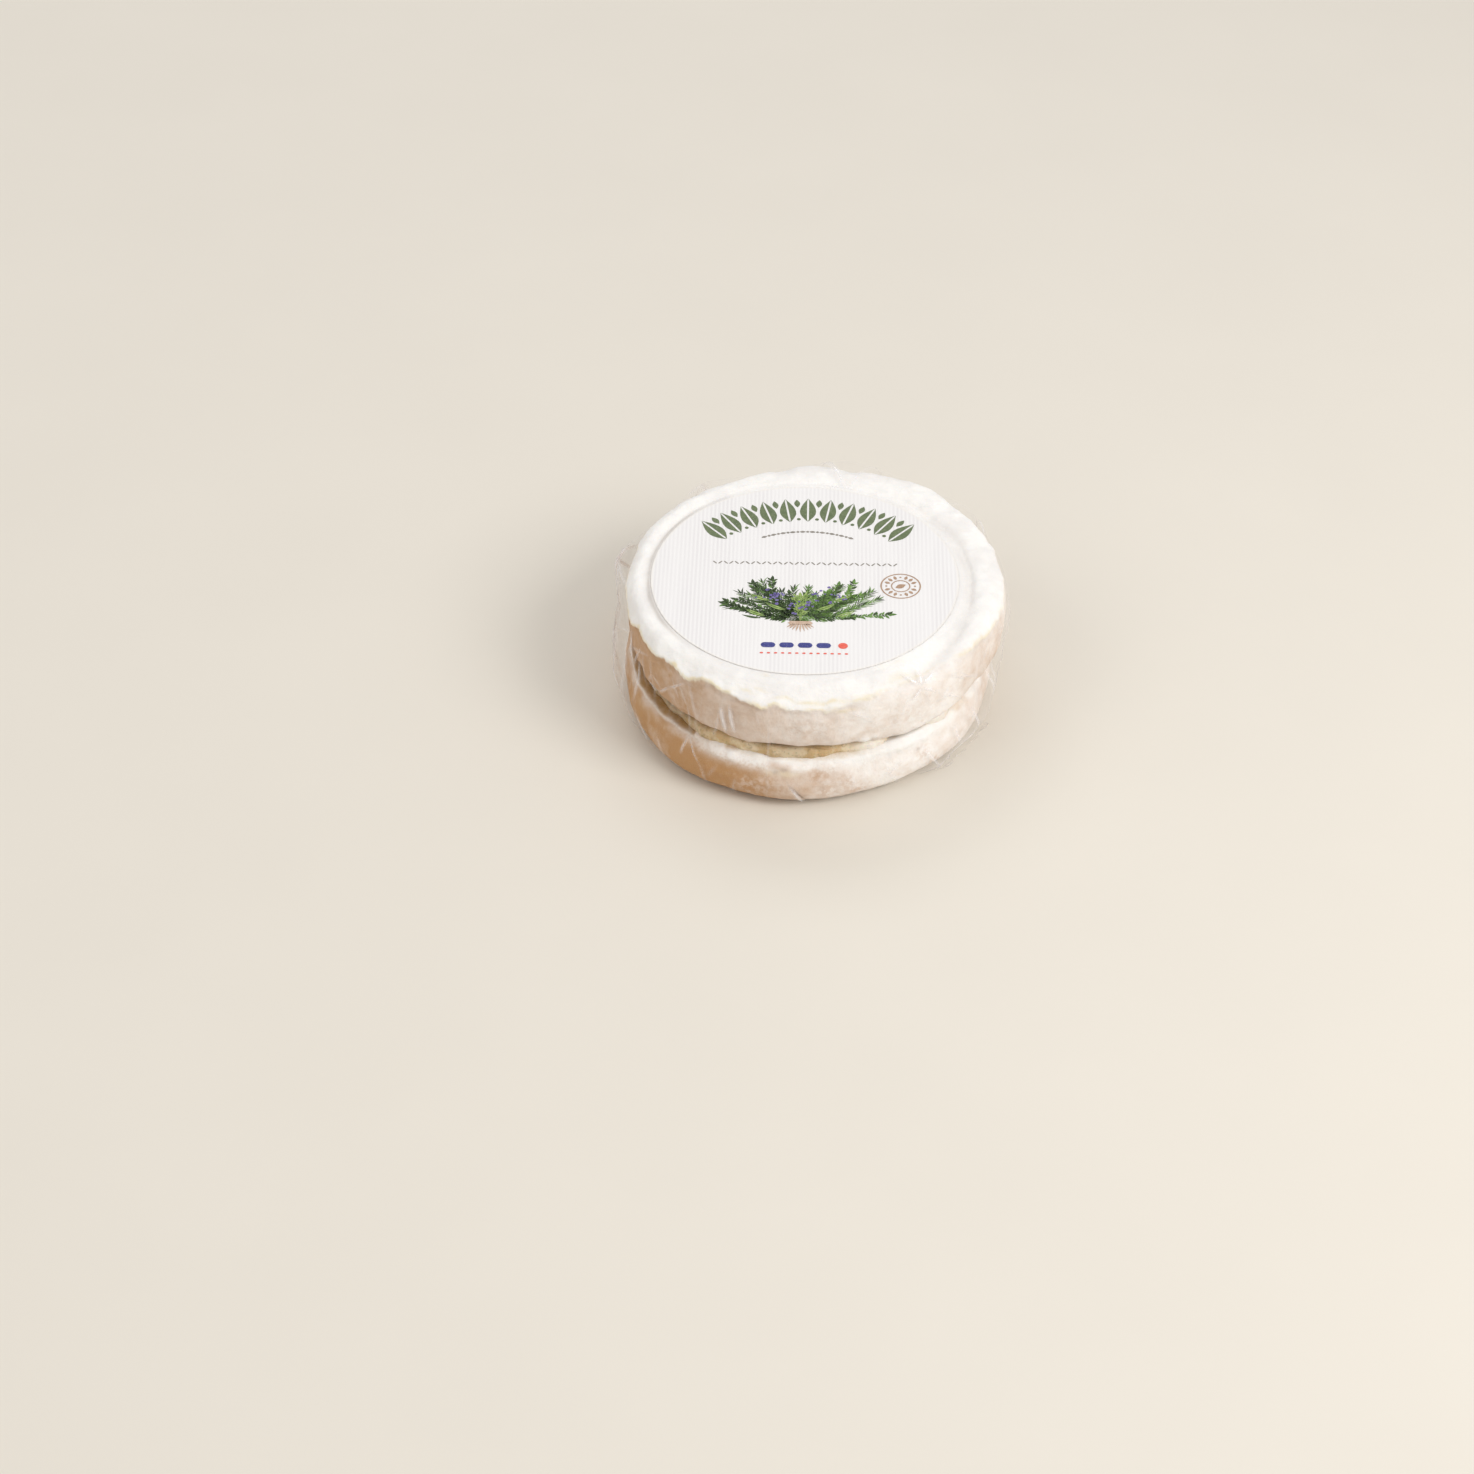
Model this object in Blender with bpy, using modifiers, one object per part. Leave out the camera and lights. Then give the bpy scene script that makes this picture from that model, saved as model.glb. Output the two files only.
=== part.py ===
"""Small brie wheel in two layers with a herb cream between them.

The wheel is wrapped tight in clear film and carries a round paper label on top.
Sizes below are millimetres and degrees; the model is built in metres, +Z up.
"""
import math

import bmesh
import bpy

MM = 0.001

# Driving sizes of the stack
WHEEL_RADIUS = 52.5
LOWER_RADIUS = 51.7
LABEL_RADIUS = 42.5
LABEL_THICKNESS = 0.4
FILM_THICKNESS = 0.3
SKIN_GAP = 0.35

# Levels, from the table up
FILM_STAND = FILM_THICKNESS + SKIN_GAP
BASE_LEVEL = FILM_STAND
LOWER_TOP = 14.7
FILLING_BOTTOM = LOWER_TOP + SKIN_GAP
UPPER_BOTTOM = 18.8
FILLING_TOP = UPPER_BOTTOM - SKIN_GAP
CREST_LEVEL = 36.3
PLATEAU_LEVEL = 35.6
VALLEY_DEPTH = 0.35
LABEL_BOTTOM = PLATEAU_LEVEL + FILM_STAND + SKIN_GAP

# The rim rounds over from its crest to the side: inward from the side, drop
RIM_SHAPE = (
    (6.8, 0.0),
    (4.4, 0.1),
    (2.3, 0.7),
    (0.9, 1.6),
    (0.25, 3.0),
    (0.0, 4.8),
    (-0.25, 9.0),
)

# Rounded edges of the rind
WAIST_CORNER = 3.2
LOWER_SHOULDER = 3.5
BASE_CORNER = 4.5

# Radii across the top and in the groove; the rings are shares of the label's radius
LABEL_RINGS = (0.0, 0.62, 0.86, 1.0)
FILM_OPENING = 38.5
VALLEY_RADIUS = LABEL_RADIUS + 1.6
FILLING_RADIUS = 47.4
FILLING_LUMP = 0.55

# The layers have slipped a little: centres of each layer as seen from the label's
LABEL_CENTRE = (0.0, 0.0)
LOWER_CENTRE = (0.7, -1.8)
UPPER_CENTRE = (3.0, 1.5)

# How far the wheel is out of round, and the way its waist leans
OVAL = 0.017
OVAL_ANGLE = 62.0
RIM_LIFT = 0.8
RIM_LIFT_ANGLE = 75.0
RIM_SAG = 2.0
RIM_SAG_ANGLE = 255.0
RIM_SAG_WIDTH = 80.0
WAIST_LEAN = 0.55
WAIST_LEAN_ANGLE = 218.0

# Places where the two rinds nearly close the groove: angle, half width, share closed
PINCHES = ((302.0, 26.0, 1.0), (112.0, 34.0, 0.7), (186.0, 16.0, 0.35))
LIP_RISE = 1.5
LIP_REACH = 1.1

# Corners where the film stands off: angle, half width, stand-off, level, half height
FILM_CORNERS = (
    (190.0, 34.0, 5.0, 20.0, 23.0),
    (167.0, 17.0, 5.6, 30.0, 20.0),
    (126.0, 13.0, 2.4, 34.0, 11.0),
    (76.0, 17.0, 3.2, 34.0, 12.0),
    (34.0, 14.0, 3.4, 31.0, 15.0),
    (352.0, 12.0, 1.2, 27.0, 9.0),
    (338.0, 20.0, 4.2, 11.0, 13.0),
    (314.0, 10.0, 2.2, 3.0, 7.0),
    (232.0, 12.0, 1.2, 17.0, 11.0),
    (140.0, 16.0, 2.6, 10.0, 12.0),
    (60.0, 20.0, 2.8, 9.0, 12.0),
)

TURN_STEPS = 60


def smooth(low, high, value):
    """Eased step from 0 at low to 1 at high."""
    share = min(max((value - low) / (high - low), 0.0), 1.0)
    return share * share * (3.0 - 2.0 * share)


def ridge(angle, middle, half_width):
    """1 at the middle angle, falling straight to 0 at half a width away, in degrees."""
    away = abs((angle - middle + 180.0) % 360.0 - 180.0)
    return max(0.0, 1.0 - away / half_width)


def wave(angle, turns, phase):
    """Sine with a whole number of turns round the wheel, angles in degrees."""
    return math.sin(math.radians(turns * angle + phase))


def arc(centre_radius, centre_level, radius, start, end, steps):
    """Points of a profile's rounded edge, start and end in degrees."""
    points = []
    for step in range(steps + 1):
        turn = math.radians(start + (end - start) * step / steps)
        points.append((centre_radius + radius * math.cos(turn), centre_level + radius * math.sin(turn)))
    return points


def top_of_wheel():
    """Profile from the label's edge over the rounded rim to the side."""
    inner = [(LABEL_RADIUS - 0.5, PLATEAU_LEVEL), (VALLEY_RADIUS, PLATEAU_LEVEL - VALLEY_DEPTH)]
    return inner + [(WHEEL_RADIUS - inward, CREST_LEVEL - drop) for inward, drop in RIM_SHAPE]


def upper_profile():
    waist = arc(WHEEL_RADIUS - WAIST_CORNER, UPPER_BOTTOM + WAIST_CORNER, WAIST_CORNER, 0.0, -90.0, 3)
    plateau = [(0.0, PLATEAU_LEVEL), (FILM_OPENING - 4.0, PLATEAU_LEVEL)]
    below = [(FILLING_RADIUS - 2.5, UPPER_BOTTOM), (0.0, UPPER_BOTTOM)]
    return plateau + top_of_wheel() + waist + below


def lower_side():
    """Profile of the lower layer's side from its widest level down to the table."""
    corner_radius = LOWER_RADIUS - BASE_CORNER
    corner = arc(corner_radius, BASE_LEVEL + BASE_CORNER, BASE_CORNER, 0.0, -90.0, 4)
    return [(LOWER_RADIUS, BASE_LEVEL + BASE_CORNER + 2.6)] + corner


def lower_profile():
    shoulder_radius = LOWER_RADIUS - 0.8 - LOWER_SHOULDER
    shoulder = arc(shoulder_radius, LOWER_TOP - LOWER_SHOULDER, LOWER_SHOULDER, 90.0, 0.0, 3)
    top = [(0.0, LOWER_TOP), (FILLING_RADIUS - 2.5, LOWER_TOP)]
    return top + shoulder + lower_side() + [(0.0, BASE_LEVEL)]


def filling_profile():
    middle = (FILLING_BOTTOM + FILLING_TOP) / 2.0
    side = [
        (FILLING_RADIUS - 0.9, FILLING_TOP),
        (FILLING_RADIUS - 0.15, FILLING_TOP - 0.7),
        (FILLING_RADIUS, middle),
        (FILLING_RADIUS - 0.15, FILLING_BOTTOM + 0.7),
        (FILLING_RADIUS - 0.9, FILLING_BOTTOM),
    ]
    return [(0.0, FILLING_TOP)] + side + [(0.0, FILLING_BOTTOM)]


def label_profile():
    radii = [LABEL_RADIUS * share for share in LABEL_RINGS]
    top = [(radius, LABEL_BOTTOM + LABEL_THICKNESS) for radius in radii]
    return top + [(radius, LABEL_BOTTOM) for radius in reversed(radii)]


def film_profile():
    """Way of the film over the rind, from its opening under the label to the base."""
    opening = [(FILM_OPENING, PLATEAU_LEVEL)]
    waist = [
        (WHEEL_RADIUS, UPPER_BOTTOM + WAIST_CORNER),
        (WHEEL_RADIUS, UPPER_BOTTOM - 1.5),
        (LOWER_RADIUS - 0.2, LOWER_TOP - 2.5),
    ]
    below = [(FILM_OPENING, BASE_LEVEL), (0.0, BASE_LEVEL)]
    return opening + top_of_wheel() + waist + lower_side() + below


def out_of_round(angle, level):
    """Share by which the outline is wider than a true circle."""
    slow = 0.5 * wave(angle, 3, 25.0 + 1.6 * level) + 0.35 * wave(angle, 4, 200.0 - 1.1 * level)
    return OVAL * (math.cos(math.radians(2.0 * (angle - OVAL_ANGLE))) + slow)


def side_dents(angle, level):
    """Shallow hollows of the soft rind's side, in millimetres."""
    return 0.26 * wave(angle, 7, 4.0 * level) + 0.18 * wave(angle, 11, 80.0 - 6.0 * level)


def crest_dents(angle):
    """Rise and fall of the rim crest, in millimetres: it stands highest at the back."""
    lift = RIM_LIFT * max(0.0, math.cos(math.radians(angle - RIM_LIFT_ANGLE)))
    return lift + 0.28 * wave(angle, 5, 150.0) + 0.2 * wave(angle, 9, 20.0)


def pinch(angle):
    """Share of the groove that the two rinds close at this angle."""
    closed = 0.0
    for middle, half_width, share in PINCHES:
        closed = max(closed, share * smooth(0.0, 0.7, ridge(angle, middle, half_width)))
    return closed


def layer_centre(level):
    """Centre of the stack at this level: the lower layer's, then the upper one's."""
    share = smooth(LOWER_TOP, UPPER_BOTTOM, level)
    return tuple(low + (high - low) * share for low, high in zip(LOWER_CENTRE, UPPER_CENTRE))


def uneven(radius, angle, level):
    """Place in the real wheel of a point of the true round form."""
    rim = min(max((radius - LABEL_RADIUS) / (LOWER_RADIUS - LABEL_RADIUS), 0.0), 1.0)
    centre = [label + (layer - label) * rim for label, layer in zip(LABEL_CENTRE, layer_centre(level))]
    new_radius = radius * (1.0 + out_of_round(angle, level) * rim) + side_dents(angle, level) * rim
    on_top = smooth(CREST_LEVEL - 6.0, CREST_LEVEL - 1.0, level)
    crest = on_top * smooth(VALLEY_RADIUS, VALLEY_RADIUS + 3.0, radius)
    edge = smooth(CREST_LEVEL - 12.0, CREST_LEVEL - 5.0, level)
    edge *= smooth(VALLEY_RADIUS, WHEEL_RADIUS - 0.5, radius)
    sag = RIM_SAG * smooth(0.0, 0.8, ridge(angle, RIM_SAG_ANGLE, RIM_SAG_WIDTH))
    new_level = level + crest_dents(angle) * crest - sag * edge
    at_waist = smooth(LOWER_TOP, UPPER_BOTTOM - 0.5, level) * (1.0 - smooth(UPPER_BOTTOM + 1.0, 32.0, level))
    turn = math.radians(angle)
    lean = math.cos(turn - math.radians(WAIST_LEAN_ANGLE)) * radius / WHEEL_RADIUS
    new_level -= WAIST_LEAN * lean * at_waist
    return (
        centre[0] + new_radius * math.cos(turn),
        centre[1] + new_radius * math.sin(turn),
        new_level,
    )


def close_lip(radius, angle, level):
    """Rind beside the groove, drawn towards the other layer where the groove closes."""
    edge = smooth(FILLING_RADIUS - 1.0, FILLING_RADIUS + 1.5, radius) * pinch(angle)
    below = smooth(LOWER_TOP - 4.0, LOWER_TOP, level) * (level < UPPER_BOTTOM - 0.1)
    above = (1.0 - smooth(UPPER_BOTTOM, UPPER_BOTTOM + 4.0, level)) * (level > UPPER_BOTTOM - 0.1)
    flat = max(below, above)
    return radius + LIP_REACH * edge * flat * 0.5, angle, level + LIP_RISE * edge * (below - above)


def lumpy_side(radius, angle, level):
    """Filling's side: lumps where the groove is open, drawn in where it closes."""
    at_side = smooth(FILLING_RADIUS - 2.0, FILLING_RADIUS - 1.0, radius)
    lumps = wave(angle, 13, 40.0 * level) + 0.8 * wave(angle, 19, 110.0 - 55.0 * level)
    drawn_in = 1.6 * pinch(angle)
    return radius + (FILLING_LUMP * lumps * 0.5 - drawn_in) * at_side, angle, level


def lifted_edge(radius, angle, level):
    """Paper that stands up a little at places along its edge."""
    lift = 0.16 * (1.0 + wave(angle, 3, 30.0)) + 0.06 * (1.0 + wave(angle, 8, 75.0))
    return radius, angle, level + lift * smooth(LABEL_RADIUS * 0.6, LABEL_RADIUS, radius)


def standing_film(radius, angle, level):
    """Film drawn into corners that stand off the rind, at the side and over the rim."""
    rise = 0.0
    for middle, half_width, stand_off, height, half_height in FILM_CORNERS:
        share = smooth(0.0, 1.0, 1.0 - abs(level - height) / half_height)
        rise = max(rise, stand_off * share * ridge(angle, middle, half_width) ** 1.3)
    steep = smooth(VALLEY_RADIUS, WHEEL_RADIUS - 2.0, radius)
    over_rim = smooth(CREST_LEVEL - 5.0, CREST_LEVEL + FILM_STAND, level)
    return radius + rise * steep * (1.0 - 0.45 * over_rim), angle, level + 0.7 * rise * steep * over_rim


def stand_off(mesh, distance):
    """Moves every face outward by the distance, as a skin over the form."""
    skin = bmesh.new()
    skin.from_mesh(mesh)
    skin.normal_update()
    for vertex in skin.verts:
        vertex.co += vertex.normal * vertex.calc_shell_factor() * distance
    skin.to_mesh(mesh)
    skin.free()


def turned(name, profile, shape, collection):
    """Turned form, then pushed into the uneven form of the real one."""
    outline = bpy.data.meshes.new(name + "_profile")
    vertices = [(radius * MM, 0.0, level * MM) for radius, level in profile]
    edges = [(index, index + 1) for index in range(len(vertices) - 1)]
    outline.from_pydata(vertices, edges, [])
    guide = bpy.data.objects.new(name + "_guide", outline)
    collection.objects.link(guide)
    screw = guide.modifiers.new("Turn", "SCREW")
    screw.steps = TURN_STEPS
    screw.render_steps = TURN_STEPS
    screw.use_merge_vertices = True
    screw.merge_threshold = 0.00001
    bpy.context.view_layer.update()
    graph = bpy.context.evaluated_depsgraph_get()
    mesh = bpy.data.meshes.new_from_object(guide.evaluated_get(graph))
    bpy.data.objects.remove(guide)
    mesh.name = name
    for vertex in mesh.vertices:
        x, y, z = (value / MM for value in vertex.co)
        place = (math.hypot(x, y), math.degrees(math.atan2(y, x)) % 360.0, z)
        vertex.co = [value * MM for value in uneven(*shape(*place))]
    mesh.shade_smooth()
    mesh.set_sharp_from_angle(angle=math.radians(50.0))
    piece = bpy.data.objects.new(name, mesh)
    collection.objects.link(piece)
    return piece


def split_into_triangles(piece):
    """Bent four-sided faces become triangles, so that both sides of a skin match."""
    mesh = bmesh.new()
    mesh.from_mesh(piece.data)
    bmesh.ops.triangulate(mesh, faces=mesh.faces, quad_method="FIXED")
    mesh.to_mesh(piece.data)
    mesh.free()


def finish(name, colour, roughness, alpha=1.0):
    """Principled material of one piece."""
    material = bpy.data.materials.new(name)
    material.use_nodes = True
    shader = material.node_tree.nodes["Principled BSDF"]
    shader.inputs["Base Color"].default_value = (*colour, 1.0)
    shader.inputs["Roughness"].default_value = roughness
    shader.inputs["Metallic"].default_value = 0.0
    shader.inputs["Alpha"].default_value = alpha
    return material


def stand_on_origin(pieces):
    """Brings the middle of the whole stack's footprint over the origin."""
    corners = [vertex.co for piece in pieces for vertex in piece.data.vertices]
    for axis in (0, 1):
        values = [corner[axis] for corner in corners]
        shift = -(min(values) + max(values)) / 2.0
        for piece in pieces:
            for vertex in piece.data.vertices:
                vertex.co[axis] += shift


def build():
    for item in list(bpy.data.objects):
        bpy.data.objects.remove(item)
    wheel = bpy.data.collections.new("brie_wheel")
    bpy.context.scene.collection.children.link(wheel)

    lower = turned("lower_brie", lower_profile(), close_lip, wheel)
    filling = turned("herb_filling", filling_profile(), lumpy_side, wheel)
    upper = turned("upper_brie", upper_profile(), close_lip, wheel)
    label = turned("label", label_profile(), lifted_edge, wheel)
    film = turned("film_wrap", film_profile(), standing_film, wheel)

    rind = finish("white_rind", (0.86, 0.80, 0.71), 0.7)
    lower.data.materials.append(rind)
    upper.data.materials.append(rind)
    filling.data.materials.append(finish("herb_cream", (0.46, 0.36, 0.16), 0.55))
    label.data.materials.append(finish("label_paper", (0.87, 0.85, 0.83), 0.6))
    film.data.materials.append(finish("clear_film", (0.95, 0.95, 0.95), 0.08, 0.25))

    pieces = (lower, filling, upper, label, film)
    for piece in pieces:
        split_into_triangles(piece)
    stand_off(film.data, FILM_STAND * MM)
    stand_on_origin(pieces)
    skin = film.modifiers.new("Thickness", "SOLIDIFY")
    skin.thickness = FILM_THICKNESS * MM
    skin.offset = -1.0
    skin.use_even_offset = True


build()
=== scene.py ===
"""Dressed scene of a filled brie wheel: two rinds, herb cream, paper label and clear film."""
import math

import bpy
import numpy as np
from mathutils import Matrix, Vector
from mathutils.bvhtree import BVHTree


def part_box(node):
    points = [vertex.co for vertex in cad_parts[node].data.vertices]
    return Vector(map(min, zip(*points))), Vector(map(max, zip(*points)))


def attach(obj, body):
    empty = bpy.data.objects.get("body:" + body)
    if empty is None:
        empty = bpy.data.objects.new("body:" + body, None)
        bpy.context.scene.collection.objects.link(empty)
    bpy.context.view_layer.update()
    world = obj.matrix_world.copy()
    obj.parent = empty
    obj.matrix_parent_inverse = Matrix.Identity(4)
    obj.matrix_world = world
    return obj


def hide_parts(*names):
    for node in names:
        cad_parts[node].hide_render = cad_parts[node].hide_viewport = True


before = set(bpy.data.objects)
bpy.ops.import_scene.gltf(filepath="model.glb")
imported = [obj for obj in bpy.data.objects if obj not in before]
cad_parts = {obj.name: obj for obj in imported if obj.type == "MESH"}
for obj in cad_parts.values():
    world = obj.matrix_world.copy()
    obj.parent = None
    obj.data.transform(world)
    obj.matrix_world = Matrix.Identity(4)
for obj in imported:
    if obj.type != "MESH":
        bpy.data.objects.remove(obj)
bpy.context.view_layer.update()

# All making is in millimetres; a mesh is scaled to metres when it is made
MM = 0.001
FAR = 200.0


def middle_of(node):
    low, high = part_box(node)
    return (low.x + high.x) / 2.0 / MM, (low.y + high.y) / 2.0 / MM


LABEL_X, LABEL_Y = middle_of("label")
LABEL_RADIUS = 42.5
PAPER_LEVEL = 36.94
PAPER_THICKNESS = 0.1
# Room left under the paper's face for the film and, below it, the rind
FILM_GAP = 0.12
RIND_GAP = 0.22
# Lowest level of the film's skin, above the floor
FILM_FOOT = 0.05
LABEL_TURN = math.radians(-1.5)

# Angles of the marks on the side are measured round this point, a little off the label's middle
WHEEL_X, WHEEL_Y = LABEL_X + 2.0, LABEL_Y - 0.4
SIDE_RADIUS = 52.7
# Way round the side in millimetres for one degree
DEGREE = math.radians(SIDE_RADIUS)

# Lower edge of the white top on the upper layer: angle, level. It is scalloped where it sags
RIM_EDGE = (
    (0.0, 33.6), (30.0, 33.4), (60.0, 33.8), (90.0, 34.0), (120.0, 33.6), (150.0, 33.2),
    (165.0, 32.9), (180.0, 32.5), (187.0, 31.8), (193.3, 31.2), (201.3, 33.6), (205.6, 33.0),
    (211.5, 32.7), (214.9, 32.7), (217.9, 33.3), (223.2, 33.0), (226.1, 32.3), (228.0, 31.9),
    (231.5, 32.9), (235.0, 33.3), (239.6, 33.2), (243.7, 33.1), (247.2, 33.0), (250.8, 32.8),
    (254.1, 32.2), (257.5, 32.9), (261.6, 32.3), (268.0, 31.9), (273.9, 31.8), (282.3, 33.0),
    (291.7, 33.9), (301.8, 34.4), (315.0, 34.6), (340.0, 33.8),
)

# How crisp that edge is: angle, share
EDGE_CRISPNESS = (
    (0.0, 0.15), (60.0, 0.1), (120.0, 0.2), (165.0, 0.5), (190.0, 1.0), (262.0, 1.0),
    (275.0, 0.55), (292.0, 0.3), (320.0, 0.25), (335.0, 0.5), (350.0, 0.2),
)

# How tan the side is, not white: angle, share. Partly the rind's own colour, partly painted shade: most
# tan on the left, away from the key light, palest where the key light falls on the right front
UPPER_TAN_AND_SHADE = (
    (0.0, 0.3), (45.0, 0.35), (90.0, 0.45), (135.0, 0.55), (170.0, 0.95), (205.0, 1.15), (225.0, 0.88),
    (240.0, 0.64), (255.0, 0.41), (270.0, 0.28), (285.0, 0.16), (300.0, 0.05), (318.0, 0.06),
    (331.0, 0.45), (345.0, 0.45),
)
LOWER_TAN_AND_SHADE = (
    (0.0, 0.35), (60.0, 0.5), (120.0, 0.6), (180.0, 0.9), (205.0, 1.0), (240.0, 1.1), (255.0, 0.8),
    (263.0, 0.6), (272.0, 0.42), (280.0, 0.25), (290.0, 0.1), (305.0, 0.07), (320.0, 0.16), (340.0, 0.3),
)

# Marks on the rinds: angle, level, half width round the side, half height, strength
YELLOW_STREAKS = (
    (274.6, 33.3, 5.0, 0.4, 0.8), (279.0, 31.2, 2.6, 0.5, 0.8), (283.9, 33.3, 3.6, 0.35, 0.7),
    (268.4, 33.6, 4.0, 0.35, 0.7), (248.0, 34.2, 3.2, 0.3, 0.5), (287.4, 34.0, 4.5, 0.35, 0.6),
    (260.7, 33.9, 3.0, 0.3, 0.6), (299.0, 35.1, 4.0, 0.4, 0.5), (252.4, 35.0, 2.0, 0.25, 0.5),
)
UPPER_BLOBS = ((285.6, 19.9, 2.0, 1.5, 1.0), (288.5, 20.6, 1.2, 0.9, 0.7))
UPPER_PATCHES = ((268.0, 26.0, 7.0, 4.0, 0.25), (300.0, 24.0, 9.0, 4.0, 0.16))
LOWER_CLOTS = ((233.0, 14.7, 3.0, 1.3, 1.0), (239.5, 14.2, 3.6, 1.5, 1.0), (245.5, 13.4, 2.4, 1.1, 0.8))
LOWER_FOLD = ((265.6, 5.0, 0.45, 3.0, 1.0),)
LOWER_SPOTS = ((258.9, 11.8, 0.8, 0.6, 0.55), (261.2, 12.5, 0.9, 0.5, 0.5), (304.4, 10.8, 1.0, 0.6, 0.35))
LOWER_PATCHES = (
    (271.8, 11.0, 3.0, 2.2, 0.5), (273.4, 5.9, 2.6, 3.0, 0.4), (275.7, 12.6, 2.6, 1.5, 0.45),
    (280.0, 8.0, 2.5, 4.0, 0.3), (306.0, 9.0, 3.0, 2.5, 0.35), (311.8, 4.0, 3.5, 2.0, 0.4),
    (283.0, 4.3, 3.5, 1.5, 0.4), (249.0, 6.5, 10.0, 5.0, 0.9), (230.0, 8.0, 9.0, 5.0, 0.3),
)
RIGHT_SMEAR = ((325.5, 14.0, 5.5, 0.9, 0.55),)


def eased(low, high, value):
    """Eased step from 0 at low to 1 at high."""
    share = np.clip((value - low) / (high - low), 0.0, 1.0)
    return share * share * (3.0 - 2.0 * share)


def hump(value, middle, width):
    return np.exp(-(((value - middle) / width) ** 2))


def turned_from(angle, middle):
    """Degrees from the middle angle, -180 to 180."""
    return (angle - middle + 180.0) % 360.0 - 180.0


def round_table(table, angle):
    """Value at an angle from a table that closes round the wheel."""
    angles, values = zip(*table)
    return np.interp(angle, angles, values, period=360.0)


def lumps(points, size, seed):
    """Smooth random heights, -1 to 1, with lumps of this size."""
    table = np.random.default_rng(seed).uniform(-1.0, 1.0, 4096)
    cell = np.floor(points / size).astype(np.int64)
    share = points / size - cell
    share = share * share * (3.0 - 2.0 * share)
    total = np.zeros(points.shape[:-1])
    for corner in range(8):
        step = np.array([corner & 1, corner >> 1 & 1, corner >> 2 & 1])
        place = (cell + step) * np.array([73856093, 19349663, 83492791])
        weight = np.prod(np.where(step == 1, share, 1.0 - share), axis=-1)
        total += weight * table[(place[..., 0] ^ place[..., 1] ^ place[..., 2]) & 4095]
    return total


def layered(points, *layers):
    """Sum of lumps: the size, seed and share of each layer."""
    return sum(lumps(points, size, seed) * share for size, seed, share in layers)


def creased(points, size, seed):
    """Random heights, 0 to 1, with sharp crests of this size."""
    return 1.0 - np.abs(lumps(points, size, seed)) * 1.6


def search_tree(node):
    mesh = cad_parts[node].data
    points = [vertex.co / MM for vertex in mesh.vertices]
    return BVHTree.FromPolygons(points, [tuple(face.vertices) for face in mesh.polygons])


def softened(values, degrees, steps):
    """Takes the facets out of a grid of values, round the wheel and along the rows."""
    turns = np.arange(values.shape[1] // 2 + 1)
    fade = np.exp(-0.5 * (turns * math.radians(degrees)) ** 2)
    soft = np.fft.irfft(np.fft.rfft(values, axis=1) * fade, n=values.shape[1], axis=1)
    for _ in range(steps):
        padded = np.pad(soft, ((1, 1), (0, 0)), mode="edge")
        soft = (padded[:-2] + 2.0 * padded[1:-1] + padded[2:]) / 4.0
    return soft


def laid_over(node, ring, rows, columns, degrees=2.2, steps=3):
    """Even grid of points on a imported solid, seen outward from a ring inside it."""
    centre_x, centre_y, radius, level = ring
    tree = search_tree(node)
    tilts = np.radians(np.linspace(90.0, -90.0, 181))
    angles = np.radians(np.arange(0.0, 360.0, 1.5))
    reach = np.zeros((len(tilts), len(angles)))
    for column, angle in enumerate(angles):
        way_x, way_y = math.cos(angle), math.sin(angle)
        start = Vector((centre_x + radius * way_x, centre_y + radius * way_y, level))
        for row, tilt in enumerate(tilts):
            way = Vector((math.cos(tilt) * way_x, math.cos(tilt) * way_y, math.sin(tilt)))
            hit = tree.ray_cast(start + way * FAR, -way, FAR)
            reach[row, column] = FAR - hit[3] if hit[0] else reach[row - 1, column]
    reach = softened(reach, degrees, steps)
    out = radius + reach * np.cos(tilts)[:, None]
    grid = np.stack([
        centre_x + out * np.cos(angles),
        centre_y + out * np.sin(angles),
        level + reach * np.sin(tilts)[:, None],
    ], axis=-1)
    even = np.zeros((rows, len(angles), 3))
    for column in range(len(angles)):
        line = grid[:, column]
        path = np.append(0.0, np.cumsum(np.linalg.norm(np.diff(line, axis=0), axis=1)))
        stops = np.linspace(0.0, path[-1], rows)
        for axis in range(3):
            even[:, column, axis] = np.interp(stops, path, line[:, axis])
    waves = np.fft.rfft(even, axis=1)
    return np.fft.irfft(waves, n=columns, axis=1) * (columns / len(angles))


def outward(grid):
    """Normals of a grid of points whose rows run from the top down."""
    along = np.gradient(grid, axis=0)
    around = (np.roll(grid, -1, axis=1) - np.roll(grid, 1, axis=1)) / 2.0
    normal = np.cross(along, around)
    return normal / np.maximum(np.linalg.norm(normal, axis=-1, keepdims=True), 1e-9)


def round_wheel(points):
    """Angle, distance and level of points as seen from the wheel's middle."""
    from_x, from_y = points[..., 0] - WHEEL_X, points[..., 1] - WHEEL_Y
    return np.degrees(np.arctan2(from_y, from_x)) % 360.0, np.hypot(from_x, from_y), points[..., 2]


def add_piece(name, points, faces, masks=None, smooth=True):
    mesh = bpy.data.meshes.new(name)
    mesh.from_pydata((np.asarray(points) * MM).tolist(), [], faces)
    for mask, values in (masks or {}).items():
        mesh.attributes.new(mask, "FLOAT", "POINT").data.foreach_set("value", np.ravel(values))
    mesh.polygons.foreach_set("use_smooth", [smooth] * len(mesh.polygons))
    mesh.update()
    piece = bpy.data.objects.new(name, mesh)
    bpy.context.scene.collection.objects.link(piece)
    return piece


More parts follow.
